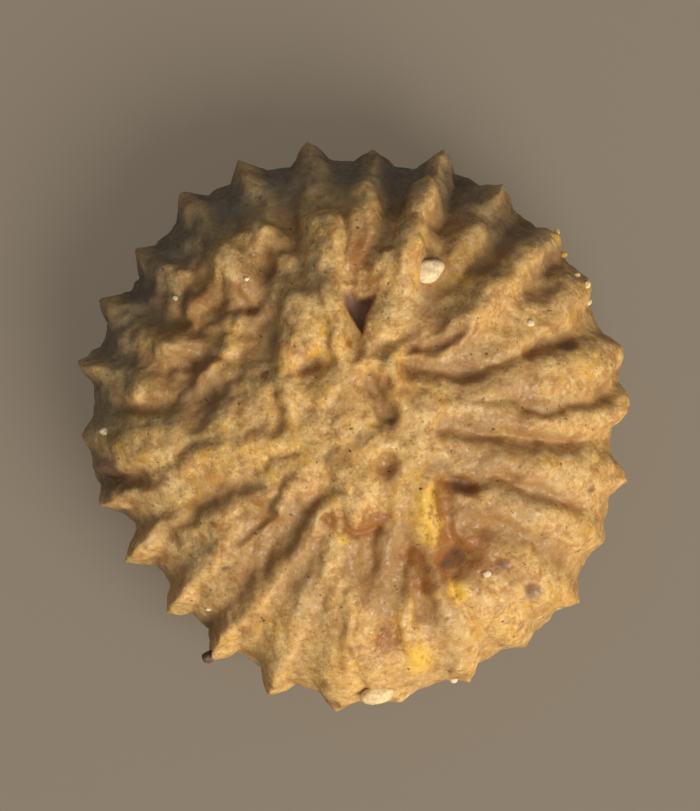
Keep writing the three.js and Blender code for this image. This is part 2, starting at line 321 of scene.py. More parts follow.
# Furrows that cut deeper than the grooves beside the ribs: depth, half width and the line they follow.
FURROWS = [
    (0.045, 0.035,
     [(-0.13, -0.61), (-0.10, -0.68), (-0.04, -0.73), (0.03, -0.745), (0.09, -0.73), (0.13, -0.70)]),
    (0.035, 0.05, [(-0.20, -0.30), (-0.24, -0.50), (-0.22, -0.62), (-0.15, -0.67)]),
    (0.03, 0.05, [(-0.50, -0.12), (-0.64, -0.24)]),
    (0.03, 0.04, [(-0.58, 0.20), (-0.56, -0.02), (-0.46, -0.14)]),
    (0.05, 0.06, [(0.44, 0.67), (0.32, 0.63), (0.18, 0.59)]),
    (0.04, 0.09, [(-0.20, -0.41), (-0.49, -0.69), (-0.60, -0.89), (-0.78, -1.10), (-1.02, -1.44)]),
    (0.075, 0.06, [(-0.64, -0.62), (-0.84, -0.76)]),
    (0.045, 0.06, [(-1.04, -0.51), (-1.15, -0.61), (-1.32, -0.71)]),
    (0.06, 0.06, [(0.62, 0.04), (1.10, -0.06)]),
    (0.07, 0.08, [(1.10, -0.07), (1.34, -0.09), (1.55, -0.11)]),
    (0.05, 0.05, [(1.20, 0.14), (1.45, 0.16), (1.67, 0.20), (1.76, 0.27)]),
    (0.07, 0.055, [(1.22, 0.54), (1.36, 0.61), (1.50, 0.66)]),
    (0.055, 0.075, [(1.24, 1.52), (1.08, 1.31), (0.94, 1.13)]),
    (0.08, 0.075, [(0.76, 1.80), (0.67, 1.60), (0.60, 1.46)]),
    (0.065, 0.06, [(0.60, 0.74), (0.48, 0.64), (0.38, 0.56)]),
    (0.03, 0.07, [(0.33, 1.85), (0.30, 1.68), (0.28, 1.52)]),
    (0.07, 0.06, [(0.36, 0.46), (0.60, 0.42), (0.84, 0.41)]),
    (0.08, 0.06, [(0.40, 0.58), (0.56, 0.60), (0.70, 0.70)]),
    (0.045, 0.055, [(1.02, -0.33), (1.18, -0.40), (1.40, -0.47), (1.58, -0.56)]),
    (0.04, 0.07, [(0.80, -0.68), (1.08, -0.71), (1.32, -0.79), (1.46, -0.90)]),
    (0.05, 0.07, [(0.40, -0.88), (0.47, -1.08), (0.50, -1.31)]),
    (0.06, 0.07, [(0.61, -0.40), (0.63, -0.52), (0.68, -0.72), (0.72, -0.87)]),
]

# The open pit beside the boss: a ragged three-cornered gap, wide at the back and pointed in front.
PIT_DEPTH = 0.14
PIT_SLOPE = 0.025
PIT_OUTLINE = [
    (-0.09, 0.98), (-0.04, 1.00), (0.01, 0.95), (0.13, 0.94), (0.11, 0.89),
    (0.07, 0.82), (0.045, 0.69), (-0.01, 0.78), (-0.07, 0.87),
]

# Unevenness along the ribs: the least share of their height, how much swells on top of it, and in waves
# of which size. Then the stretches of groove that are choked up: how far towards the crests beside them,
# the waves' size, and the part of the waves that chokes.
UNEVEN = {"least": 0.75, "swell": 0.5, "size": 0.16, "seed": 5.0}
CHOKED = {"share": 0.2, "size": 0.35, "from": 0.35, "to": 0.7, "seed": 9.0}

# The parts of the top that are broken into knobs, one at the back left and one on the boss: place,
# radius, the knobs' size and rise, and seed. Each part fades from this share of its radius to its edge.
KNOBBLY = [(-1.10, 0.80, 0.85, 0.12, 0.05, 7.0), (-0.05, 0.05, 0.70, 0.17, 0.035, 8.0)]
KNOBBLY_INSIDE = 0.6
KNOB_LEVEL = 0.45

# Spots of colour on the top: place and radius of each. The rust and yellow ones are stains; the dark ones
# are small specks, and over small pits and gaps painted shade.
RUST_SPOTS = [
    (0.68, -0.92, 0.14), (0.87, -0.84, 0.11), (0.89, -0.97, 0.08), (0.62, -0.55, 0.08), (0.67, -0.72, 0.07),
    (-0.17, -0.65, 0.05), (-0.05, -0.72, 0.04), (0.05, -0.74, 0.05), (1.04, -0.96, 0.06),
    (0.48, -1.10, 0.09), (0.41, -0.93, 0.09), (-0.64, 0.40, 0.03), (0.20, 1.22, 0.04), (1.52, -0.53, 0.03),
    (1.45, 0.15, 0.03), (-0.03, 0.60, 0.03), (-0.98, -0.63, 0.03), (0.62, -0.42, 0.06), (0.79, -0.40, 0.07),
    (0.66, -0.76, 0.1), (0.08, -0.67, 0.08), (0.17, -0.60, 0.05), (0.03, 1.23, 0.07), (0.20, -1.50, 0.1),
    (0.44, 0.55, 0.04), (-0.70, -0.49, 0.04),
]
YELLOW_SPOTS = [
    (0.51, -0.46, 0.08), (0.53, -0.56, 0.11), (0.54, -0.71, 0.11), (0.73, -1.15, 0.07), (0.44, -1.61, 0.09),
    (-0.10, -0.79, 0.04), (1.41, 1.35, 0.05),
]
DARK_SPECKS_AND_SHADE = [
    (-0.20, 1.09, 0.018), (-0.45, 0.61, 0.018), (0.66, -1.70, 0.02), (0.81, 0.04, 0.02),
    (-0.22, -0.02, 0.018), (-0.58, -0.56, 0.025), (-0.92, -0.99, 0.018), (0.19, -1.43, 0.02),
    (1.63, -0.41, 0.035), (1.24, -1.13, 0.07), (0.735, -0.91, 0.07), (0.66, -0.98, 0.05),
    (0.76, -0.39, 0.07), (1.04, -0.97, 0.04), (-1.80, -0.26, 0.08), (0.22, 0.05, 0.04), (1.51, 0.60, 0.05),
]

# Painted shade, a grey sheet on the rim and wall at the back left, the side turned from the key light:
# middle bearing, half its spread in degrees, the radii between which it comes in, and the height on the wall
# below which it fades. It is lifted off ribs that stand out more than the first rise, down to a least share
# at the second.
BACK_SHADE = {"bearing": 120, "spread": 72, "from": 1.5, "to": 1.82, "foot": 0.3}
BACK_SHADE_LIFT = {"from": 0.032, "to": 0.136, "least": 0.35}

# Sway of the ribs and gaps off their smooth lines: wave length, how far, and seed. Then the crumbs of
# the skin: size, how far they stand out, and seed. They are counted from a middle level, fade below a
# height above the foot, and stand out more in some patches than in others.
WARPS = [(0.12, 0.06, 13.0), (0.055, 0.03, 17.0)]
CRUMBS = [(0.17, 0.024, 1.0), (0.10, 0.013, 2.0), (0.05, 0.008, 3.0)]
CRUMB_LEVEL = 0.4
CRUMB_FOOT_FADE = 0.2
CRUMB_PATCHES = {"least": 0.5, "size": 0.4, "seed": 6.0}

# A lump this high hides the grooves' brown and painted shade, which gaps and furrows deepen, and creases get
# painted shade over this much of the crumbs' relief.
LUMP_COVER = 0.05
CREASE_SHADE_RELIEF = 0.045


def smooth_step(value, start, end):
    """0 before start, 1 after end, and the curve 3t2 - 2t3 between them."""
    share = np.clip((value - start) / (end - start), 0, 1)
    return share * share * (3 - 2 * share)


def lattice_random(corner, seed):
    """Three random numbers from 0 to 1 for each corner of a cubic lattice, the same on every run: the
    fraction left of a large multiple of the sine of mixed coordinates."""
    mix = np.array([[127.1, 269.5, 113.5], [311.7, 183.3, 271.9], [74.7, 246.1, 124.6]])
    scatter = 43758.5453
    return np.modf(np.abs(np.sin(corner @ mix + seed)) * scatter)[0]


def grains(points, size, seed):
    """Rounded grains packed at random: each lattice cell of this size holds one jittered centre.
    A point's value is its nearness to the nearest centre, from 1 on it down to 0 a cell away."""
    place = points / size
    cell = np.floor(place)
    nearest = np.full(len(points), 4.0)
    for step in np.ndindex(3, 3, 3):
        corner = cell + np.array(step) - 1
        centre = corner + lattice_random(corner, seed)
        nearest = np.minimum(nearest, ((place - centre) ** 2).sum(axis=1))
    return 1 - np.minimum(np.sqrt(nearest), 1)


def drift(points, size, seed):
    """Smooth random swell from 0 to 1: random values on a lattice of this size, blended between
    the eight corners round each point by the curve 3t2 - 2t3."""
    place = points / size
    cell = np.floor(place)
    share = place - cell
    share = share * share * (3 - 2 * share)
    total = np.zeros(len(points))
    for step in np.ndindex(2, 2, 2):
        corner = np.array(step)
        weight = np.where(corner == 1, share, 1 - share).prod(axis=1)
        total += weight * lattice_random(cell + corner, seed)[:, 0]
    return total


def disc_grid(cells):
    """A square grid pressed into a disc: each ring of squares becomes a circle and keeps its even
    spacing. Gives every point's bearing in degrees and its distance from the middle, 0 to 1."""
    side = np.linspace(-1, 1, cells + 1)
    across, up = np.meshgrid(side, side)
    reach = np.maximum(np.abs(across), np.abs(up))
    whole = np.where(reach == 0, 1, reach)
    sideways = np.abs(across) >= np.abs(up)
    on_sides = np.where(across >= 0, 0, 180) + 45 * up / whole * np.where(across >= 0, 1, -1)
    on_ends = np.where(up >= 0, 90, 270) - 45 * across / whole * np.where(up >= 0, 1, -1)
    return np.where(sideways, on_sides, on_ends) % 360, reach


def coral_section(along):
    """The groove floor in section, from the apex (0) over the rim (1) and the foot's edge (2) to the
    foot's middle (3): a quarter ellipse, a wall on a quadratic curve that bulges out, and a flat foot."""
    turn = np.linspace(0, np.pi / 2, DOME_STEPS)
    dome_r = RIM_RADIUS * np.sin(turn)
    dome_z = RIM_HEIGHT + DOME_HEIGHT * np.cos(turn)
    walked = np.concatenate([[0], np.cumsum(np.hypot(np.diff(dome_r), np.diff(dome_z)))])
    walked /= walked[-1]
    down = np.clip(along - 1, 0, 1)
    wall_r = RIM_RADIUS - (RIM_RADIUS - FOOT_RADIUS) * down**2
    wall_z = 2 * (1 - down) * down * WALL_BULGE + (1 - down) ** 2 * RIM_HEIGHT
    on_dome = along < 1
    on_foot = along > 2
    radius = np.where(on_dome, np.interp(along, walked, dome_r), wall_r)
    height = np.where(on_dome, np.interp(along, walked, dome_z), wall_z)
    radius = np.where(on_foot, FOOT_RADIUS * (3 - along), radius)
    return radius, np.where(on_foot, 0, height)


def rib_relief(bearing, radius, on_top, height):
    """How far the ribs stand out, the level of the crests beside each point, and its share of the grooves'
    brown, which is partly painted shade.
    A rib's crest is a line of bearings against radius. Its section is 1 / (1 + q^4), with q the distance
    across in half widths, which grow with the radius, and over its sharp stretch at the rim it turns into
    a straight-sided point. The ridge ends at its outer radius and fades at its inner end. On the wall the
    tooth's root goes on down and fades above the foot. The highest rib counts at each point."""
    grooves = [groove for groove, *_ in RIBS]
    best = np.zeros(len(bearing))
    crest_share = np.zeros(len(bearing))
    groove_shade_share = np.zeros(len(bearing))
    level = np.zeros(len(bearing))
    path_radius = np.where(on_top, radius, RIM_RADIUS * 2)
    from_rim = RIM_RADIUS - path_radius
    on_shoulder = smooth_step(from_rim, 0.0, SHOULDER_RISE)
    down = 1 - height / RIM_HEIGHT
    for index, (groove, strength, width, outer, sharp, crest) in enumerate(RIBS):
        bearings, radii = np.array(crest[::-1]).T
        tip_radius = crest[0][1]
        inner = crest[-1][1]
        reach = path_radius * (tip_radius / RIM_RADIUS)
        line = np.interp(reach, radii, bearings)
        across = np.radians((bearing - line + 180) % 360 - 180) * radius
        half_width = width * np.clip(radius / WIDTH_RADIUS, WIDTH_LEAST, 1.0) ** WIDTH_POWER
        half_width = TOOTH_WIDTH + (half_width - TOOTH_WIDTH) * on_shoulder
        q = np.abs(across) / half_width
        rounded = 1 / (1 + q**4)
        pointed = np.maximum(1 - q / TOOTH_REACH, 0)
        flat_topped = smooth_step(from_rim, 0.0, sharp)
        section = rounded * flat_topped + pointed * (1 - flat_topped)
        tooth = tip_radius - (groove + grooves[index - 1]) / 2
        ended = smooth_step(reach, outer - RIDGE_END, outer + RIDGE_END)
        rise = tooth + (SHOULDER_RELIEF * strength * (1 - ended) - tooth) * on_shoulder
        fade = smooth_step(reach, inner - RIB_FADE, inner + RIB_FADE)
        wall_rise = (tooth + (WALL_RELIEF - tooth) * down) * smooth_step(height, 0.0, FOOT_FADE)
        best = np.maximum(best, np.where(on_top, rise * fade, wall_rise) * section)
        crest_share = np.maximum(crest_share, section * fade)
        # The grooves' brown and painted shade are deeper beside stronger, taller ribs.
        shade_depth = min(FAINT_GROOVE_SHADE + (1 - FAINT_GROOVE_SHADE) * strength, 1.0)
        beside = fade * np.exp(-((q / GROOVE_REACH) ** 4))
        groove_shade_share = np.maximum(groove_shade_share, shade_depth * beside)
        level = np.maximum(level, rise * on_shoulder * beside)
    return best, level, np.clip(groove_shade_share - crest_share, 0, 1)


def lump_relief(x, y):
    """Sum of flat-topped mounds and gaps, each its height over 1 + q^4, with q its distance measured in
    its own half length and half width."""
    total = np.zeros(len(x))
    for place_x, place_y, length, width, turn, height in LUMPS:
        angle = math.radians(turn)
        along = (x - place_x) * math.cos(angle) + (y - place_y) * math.sin(angle)
        across = (y - place_y) * math.cos(angle) - (x - place_x) * math.sin(angle)
        total += height / (1 + ((along / length) ** 2 + (across / width) ** 2) ** 2)
    return total


def line_distance(x, y, line):
    """Distance to a line of straight stretches: the least of the distances to its stretches."""
    nearest = np.full(len(x), np.inf)
    for (from_x, from_y), (to_x, to_y) in zip(line, line[1:]):
        step_x, step_y = to_x - from_x, to_y - from_y
        share = ((x - from_x) * step_x + (y - from_y) * step_y) / (step_x**2 + step_y**2)
        share = np.clip(share, 0, 1)
        nearest = np.minimum(nearest, np.hypot(x - from_x - share * step_x, y - from_y - share * step_y))
    return nearest


def furrow_relief(x, y):
    """Each furrow's depth times exp(-q^2), with q its distance in half widths. The deepest counts."""
    deepest = np.zeros(len(x))
    for depth, width, line in FURROWS:
        deepest = np.maximum(deepest, depth * np.exp(-((line_distance(x, y, line) / width) ** 2)))
    return -deepest


def spot_share(x, y, spots):
    """Share of a stain: the most that any spot gives, 1 / (1 + q^4) with q the distance in radii."""
    most = np.zeros(len(x))
    for place_x, place_y, radius in spots:
        most = np.maximum(most, 1 / (1 + (np.hypot(x - place_x, y - place_y) / radius) ** 4))
    return most


def pit_share(x, y):
    """Share of the pit's depth: 1 inside its outline, 0 outside, eased over its slope. A point is inside
    if a line from it to the right crosses the outline an odd number of times."""
    closed = PIT_OUTLINE + PIT_OUTLINE[:1]
    inside = np.zeros(len(x), bool)
    for (from_x, from_y), (to_x, to_y) in zip(closed, closed[1:]):
        spans = (from_y > y) != (to_y > y)
        crossing = from_x + (y - from_y) * (to_x - from_x) / (to_y - from_y + 1e-9)
        inside ^= spans & (x < crossing)
    off = line_distance(x, y, closed) * np.where(inside, 1, -1)
    return smooth_step(off, -PIT_SLOPE / 2, PIT_SLOPE / 2)


def section_normal(along):
    """The section's outward direction, as its part outwards and its part upwards: the slope of a fine
    table of the section, turned a quarter."""
    table = np.linspace(0, 3, SECTION_STEPS + 1)
    table_r, table_z = coral_section(table)
    slope_r, slope_z = np.gradient(table_r), np.gradient(table_z)
    length = np.hypot(slope_r, slope_z)
    return np.interp(along, table, -slope_z / length), np.interp(along, table, slope_r / length)


def groove_outline(bearing):
    """Radius of the grooves' outline at the rim: each groove's own radius midway between two teeth, and
    straight lines from one groove to the next."""
    tips = np.array([crest[0][0] for *_, crest in RIBS], float)
    next_tips = np.roll(tips, -1)
    next_tips[-1] += 360
    grooves = [groove for groove, *_ in RIBS]
    return np.interp(bearing, (tips + next_tips) / 2, grooves, period=360)


def crumb_relief(base, x, y, height, on_top):
    """The skin's relief: grains of three sizes, coarser in some patches and fading at the foot, and
    larger knobs in the broken parts. Each is counted from a middle level, so that gaps go in."""
    rough = sum(rise * (grains(base, size, seed) - CRUMB_LEVEL) for size, rise, seed in CRUMBS)
    rough = rough * (CRUMB_PATCHES["least"] + drift(base, CRUMB_PATCHES["size"], CRUMB_PATCHES["seed"]))
    rough = rough * np.where(on_top, 1, smooth_step(height, 0.0, CRUMB_FOOT_FADE))
    swayed = np.column_stack([x, y, height])
    for place_x, place_y, part_radius, size, rise, seed in KNOBBLY:
        off = np.hypot(x - place_x, y - place_y) / part_radius
        knobs = rise * (grains(swayed, size, seed) - KNOB_LEVEL)
        rough = rough + knobs * smooth_step(off, 1.0, KNOBBLY_INSIDE) * on_top
    return rough


def back_shade_share(bearing, rim_distance, ribs, height, on_top):
    """Share of the painted grey shade at the back left: exp(-q^4) of the bearing's distance from its middle,
    q in half spreads. On the top it comes in towards the rim and is lifted off the ribs, and on the wall it
    fades at the foot."""
    q = ((bearing - BACK_SHADE["bearing"] + 180) % 360 - 180) / BACK_SHADE["spread"]
    around = np.exp(-(q**4))
    worn = np.interp(ribs, [BACK_SHADE_LIFT["from"], BACK_SHADE_LIFT["to"]], [1, BACK_SHADE_LIFT["least"]])
    top_back_shade = around * smooth_step(rim_distance, BACK_SHADE["from"], BACK_SHADE["to"]) * worn
    return np.where(on_top, top_back_shade, around * smooth_step(height, 0.0, BACK_SHADE["foot"]))


def coral_points(bearing, along):
    """The coral's surface at bearings round it and places along its section: the section spread to the
    grooves' outline, then pushed out along its normal by the ribs, lumps, pit and crumbs. Their sum s is
    eased to L tanh(s / L), with L the most that it can be. Gives the points and the colours' marks."""
    radius, height = coral_section(along)
    normal_r, normal_z = section_normal(along)
    on_top = along < 1
    on_foot = along >= 2
    spread = groove_outline(bearing) / RIM_RADIUS
    angle = np.radians(bearing)
    x = radius * spread * np.cos(angle)
    y = radius * spread * np.sin(angle)
    base = np.column_stack([x, y, height])

    for size, sway, seed in WARPS:
        x = x + sway * (drift(base, size, seed) - 0.5)
        y = y + sway * (drift(base, size, seed + 0.5) - 0.5)
    swayed = np.degrees(np.arctan2(y, x)) % 360
    swayed_radius = np.where(on_top, np.hypot(x, y) / spread, radius)
    ribs, level, groove = rib_relief(swayed, swayed_radius, on_top, height)
    choked = smooth_step(drift(base, CHOKED["size"], CHOKED["seed"]), CHOKED["from"], CHOKED["to"])
    choked = CHOKED["share"] * choked * on_top
    ribs = ribs + choked * np.maximum(level - ribs, 0)
    ribs = ribs * (UNEVEN["least"] + UNEVEN["swell"] * drift(base, UNEVEN["size"], UNEVEN["seed"]))
    ring = HOLLOW["depth"] * np.exp(-(((radius - HOLLOW["radius"]) / HOLLOW["width"]) ** 2))
    lumps = np.where(on_top, lump_relief(x, y) + furrow_relief(x, y) - ring, 0)
    pit = np.where(on_top, pit_share(base[:, 0], base[:, 1]), 0)
    rough = crumb_relief(base, x, y, height, on_top)
    relief = ribs + rough + lumps - PIT_DEPTH * pit
    relief = np.where(on_foot, 0, RELIEF_LIMIT * np.tanh(relief / RELIEF_LIMIT))

    reach = radius * spread + relief * normal_r
    points = np.column_stack([
        reach * np.cos(angle), reach * np.sin(angle), height + relief * normal_z,
    ])
    # Marks for the colours: brown partly as painted shade in grooves, gaps and furrows, painted shade in the
    # crumbs' creases, on the rim at the back left and in the pit, stains, and dark spots partly as painted
    # shade.
    marks = {
        "groove": np.clip(groove * (1 - choked) - lumps / LUMP_COVER, 0, 1),
        "pit": pit,
        "crease_shade": np.clip(0.5 + rough / CREASE_SHADE_RELIEF, 0, 1),
        "rust": np.where(on_top, spot_share(x, y, RUST_SPOTS), 0),
        "yellow": np.where(on_top, spot_share(x, y, YELLOW_SPOTS), 0),
        "dark": np.where(on_top, spot_share(x, y, DARK_SPECKS_AND_SHADE), 0),
        "back_shade": back_shade_share(bearing, radius * spread, ribs, height, on_top),
    }
    return points, marks


def coral_mesh():
    """A disc grid for the top, then rings down the wall and in over the foot from the grid's edge, and
    one point in the foot's middle."""
    top_bearing, top_reach = disc_grid(TOP_CELLS)
    index = np.arange(top_bearing.size).reshape(top_bearing.shape)
    edge = np.concatenate([index[:-1, -1], index[-1, :0:-1], index[:0:-1, 0], index[0, :-1]])
    edge_bearing = top_bearing.ravel()[edge]
    rows = np.concatenate([
        1 + np.arange(1, WALL_ROWS + 1) / WALL_ROWS,
        2 + np.arange(1, FOOT_ROWS) / FOOT_ROWS,
    ])
    bearing = np.concatenate([top_bearing.ravel(), np.tile(edge_bearing, len(rows)), [0]])
    along = np.concatenate([top_reach.ravel(), np.repeat(rows, len(edge)), [3]])
    points, marks = coral_points(bearing, along)

    rings = np.vstack([edge, index.size + np.arange(len(rows) * len(edge)).reshape(len(rows), -1)])
    after = np.roll(rings, -1, axis=1)
    top_quads = np.stack([index[:-1, :-1], index[:-1, 1:], index[1:, 1:], index[1:, :-1]], axis=-1)
    ring_quads = np.stack([rings[:-1], rings[1:], after[1:], after[:-1]], axis=-1)
    quads = np.concatenate([top_quads.reshape(-1, 4), ring_quads.reshape(-1, 4)])
    middle = np.full(len(edge), len(points) - 1)
    fan = np.column_stack([rings[-1], middle, after[-1]])
    return points, quads, fan, marks


def mesh_from(name, points, quads, triangles):
    """A smooth-shaded mesh object from arrays of points, four-sided faces and three-sided faces."""
    mesh = bpy.data.meshes.new(name)
    mesh.vertices.add(len(points))
    mesh.vertices.foreach_set("co", points.astype(np.float32).ravel())
    corners = np.concatenate([quads.ravel(), triangles.ravel()]).astype(np.int32)
    counts = np.concatenate([np.full(len(quads), 4), np.full(len(triangles), 3)])
    starts = np.concatenate([[0], np.cumsum(counts)[:-1]]).astype(np.int32)
    mesh.loops.add(len(corners))
    mesh.loops.foreach_set("vertex_index", corners)
    mesh.polygons.add(len(counts))
    mesh.polygons.foreach_set("loop_start", starts)
    mesh.update(calc_edges=True)
    mesh.validate()
    mesh.shade_smooth()
    piece = bpy.data.objects.new(name, mesh)
    scene.collection.objects.link(piece)
    return piece


coral_low, coral_high = (np.array(corner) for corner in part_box("coral"))
points, quads, fan, marks = coral_mesh()
points = points * MM
middle = (points.min(axis=0) + points.max(axis=0)) / 2
shift = (coral_low + coral_high) / 2 - middle
points[:, :2] += shift[:2]
coral = mesh_from("coral_skeleton", points, quads, fan)
for name, values in marks.items():
    mark = coral.data.attributes.new(name, "FLOAT", "POINT")
    mark.data.foreach_set("value", values.astype(np.float32))


def add_node(tree, kind, inputs=None, **settings):
    """One shader node with its settings, and its sockets set to a value or linked from another socket."""
    node = tree.nodes.new(kind)
    for name, value in settings.items():
        setattr(node, name, value)
    for name, value in (inputs or {}).items():
        if isinstance(value, bpy.types.NodeSocket):
            tree.links.new(value, node.inputs[name])
        else:
            node.inputs[name].default_value = value
    return node


def millimetre_place(tree):
    """The place on the piece in millimetres: its Object coordinates, scaled up."""
    inputs = {0: add_node(tree, "ShaderNodeTexCoord").outputs["Object"], "Scale": 1 / MM}
    return add_node(tree, "ShaderNodeVectorMath", inputs, operation="SCALE").outputs[0]


def noise_socket(tree, place, size, detail=3.0, roughness=0.6):
    """Cloudy noise from 0 to 1 with waves of this size in millimetres."""
    inputs = {"Vector": place, "Scale": 1 / size, "Detail": detail, "Roughness": roughness}
    return add_node(tree, "ShaderNodeTexNoise", inputs).outputs["Fac"]


def ragged_place(tree, place, size, sway):
    """A place moved by noise with waves of this size, so that a pattern on it has ragged edges."""
    noise = add_node(tree, "ShaderNodeTexNoise", {"Vector": place, "Scale": 1 / size, "Detail": 2.0})
    inputs = {0: noise.outputs["Color"], 1: (sway, sway, sway), 2: place}
    return add_node(tree, "ShaderNodeVectorMath", inputs, operation="MULTIPLY_ADD").outputs[0]


def grain_cells(tree, place, size):
    """Cells of this size, like packed grains: the distance from a grain's middle, and its random tones."""
    cells = add_node(tree, "ShaderNodeTexVoronoi", {"Vector": place, "Scale": 1 / size})
    tones = add_node(tree, "ShaderNodeSeparateColor", {"Color": cells.outputs["Color"]})
    return cells.outputs["Distance"], tones.outputs


def mark_socket(tree, name):
    """The value of one of the mesh's own marks."""
    return add_node(tree, "ShaderNodeAttribute", attribute_name=name).outputs["Fac"]


def frayed_mark(tree, name, fray):
    """One of the mesh's own marks, with noise added so that its edge frays."""
    inputs = {0: mark_socket(tree, name), 1: fray}
    return add_node(tree, "ShaderNodeMath", inputs, operation="ADD").outputs[0]


def spread_range(tree, value, low, high, start=0.0, end=1.0):
    """The value carried from one range to another, held at its ends."""
    inputs = {"Value": value, "From Min": low, "From Max": high, "To Min": start, "To Max": end}
    return add_node(tree, "ShaderNodeMapRange", inputs).outputs["Result"]


def mixed(tree, share, first, second):
    """A colour between two others. The colour sockets of the node are its seventh and eighth."""
    return add_node(tree, "ShaderNodeMix", {0: share, 6: first, 7: second}, data_type="RGBA").outputs[2]


def bump_socket(tree, height, strength, rise, below=None):
    """The surface's direction, tilted by a height that rises this many metres, over another bump."""
    inputs = {"Strength": strength, "Distance": rise, "Height": height}
    if below is not None:
        inputs["Normal"] = below
    return add_node(tree, "ShaderNodeBump", inputs).outputs["Normal"]


def soak_light(shader, share, depth, colour_reach):
    """Light that sinks into the stone and comes out close by: its share, its depth in metres, and how
    much of that depth red, green and blue reach."""
    shader.inputs["Subsurface Weight"].default_value = share
    shader.inputs["Subsurface Scale"].default_value = depth
    shader.inputs["Subsurface Radius"].default_value = colour_reach


# Colours of the stone, of what lies on it and of painted shade. Then the size of its grains in millimetres,
# how much their edges and those of the stains fray, the bump's strength and rise in metres, and how light
# soaks in.
STONE_ROSE = (0.56, 0.345, 0.125, 1.0)
STONE_OCHRE = (0.63, 0.335, 0.05, 1.0)
STONE_TAN = (0.62, 0.365, 0.115, 1.0)
STONE_ORANGE = (0.50, 0.225, 0.045, 1.0)
STONE_CREAM = (0.84, 0.61, 0.28, 1.0)
# Rust colour of the stone, also used for painted shade in the creases between the crumbs.
RUST_AND_CREASE_SHADE = (0.34, 0.155, 0.045, 1.0)
# Brown for the grooves, partly the stone's own colour and partly painted shade.
GROOVE_BROWN_AND_SHADE = (0.25, 0.12, 0.04, 1.0)
STAIN_YELLOW = (0.82, 0.47, 0.05, 1.0)
STAIN_RUST = (0.30, 0.11, 0.016, 1.0)
# Grey for dirt in random patches and for painted shade on the rim at the back left.
GREY_DIRT_AND_SHADE = (0.095, 0.090, 0.068, 1.0)
# Dark brown painted over the pit, painted shade for the hole.
PIT_SHADE_BROWN = (0.30, 0.18, 0.115, 1.0)
# Dark for specks, and for painted shade over small pits and gaps.
DARK_SPECK_AND_SHADE = (0.13, 0.06, 0.025, 1.0)
LARGE_GRAIN = 0.06
SMALL_GRAIN = 0.028
GRAIN_FRAY = {"size": 0.025, "sway": 0.018}
STAIN_FRAY = 0.42
BUMP_STRENGTH = 0.28
BUMP_RISE = 10e-6
STONE_SOAK = {"share": 0.35, "depth": 0.0001, "colour_reach": (1.0, 0.55, 0.25)}

coral_stone, tree, shader = new_material("coral_stone")
place = millimetre_place(tree)
grain_place = ragged_place(tree, place, GRAIN_FRAY["size"], GRAIN_FRAY["sway"])
_, large_tones = grain_cells(tree, grain_place, LARGE_GRAIN)
grain_distance, small_tones = grain_cells(tree, grain_place, SMALL_GRAIN)
fray = spread_range(tree, noise_socket(tree, place, 0.07, 4.0, 0.7), 0.35, 0.65, -STAIN_FRAY, STAIN_FRAY)

# Coats of colour over the rose stone, each with the share in which it covers the ones before it: cloudy
# patches, single grains, rusty patches, grooves' brown with painted shade, painted shade in creases, stains,
# grey dirt, painted shade on the back left rim, dark spots partly painted shade, painted shade in the pit,
# and specks.
coats = [
    (spread_range(tree, noise_socket(tree, place, 0.5, 4.0), 0.40, 0.60), STONE_OCHRE),
    (spread_range(tree, noise_socket(tree, place, 0.14, 5.0, 0.65), 0.42, 0.60), STONE_TAN),
    (spread_range(tree, noise_socket(tree, place, 0.22, 3.0, 0.55), 0.50, 0.66, end=0.7), STONE_ORANGE),
    (spread_range(tree, large_tones[0], 0.4, 1.0, end=0.34), STONE_CREAM),
    (spread_range(tree, small_tones[0], 0.55, 1.0, end=0.38), STONE_CREAM),
    (spread_range(tree, small_tones[1], 0.6, 1.0, end=0.35), RUST_AND_CREASE_SHADE),
    (spread_range(tree, noise_socket(tree, place, 0.11, 6.0, 0.7), 0.52, 0.66, end=0.7), RUST_AND_CREASE_SHADE),
    # The grooves' brown, partly the stone's own and partly painted shade, deeper in gaps and furrows.
    (spread_range(tree, mark_socket(tree, "groove"), 0.1, 0.9, end=0.65), GROOVE_BROWN_AND_SHADE),
    # Painted shade in the creases between the crumbs.
    (spread_range(tree, mark_socket(tree, "crease_shade"), 0.15, 0.55, start=0.5, end=0.0), RUST_AND_CREASE_SHADE),
    (spread_range(tree, frayed_mark(tree, "yellow", fray), 0.15, 0.9, end=0.8), STAIN_YELLOW),
    (spread_range(tree, frayed_mark(tree, "rust", fray), 0.1, 0.8, end=0.9), STAIN_RUST),
    (spread_range(tree, fray, 0.1, STAIN_FRAY, end=0.22), GREY_DIRT_AND_SHADE),
    # Painted shade on the rim and wall at the back left.
    (spread_range(tree, mark_socket(tree, "back_shade"), 0.0, 1.0, end=0.72), GREY_DIRT_AND_SHADE),
    # Dark spots: specks, and painted shade over small pits and gaps.
    (spread_range(tree, mark_socket(tree, "dark"), 0.3, 1.0, end=0.8), DARK_SPECK_AND_SHADE),
    # Painted shade over the pit.
    (mark_socket(tree, "pit"), PIT_SHADE_BROWN),
    (spread_range(tree, noise_socket(tree, place, 0.045, 2.0), 0.69, 0.74), DARK_SPECK_AND_SHADE),
]
colour = STONE_ROSE
for share, coat in coats:
    colour = mixed(tree, share, colour, coat)
tree.links.new(colour, shader.inputs["Base Color"])

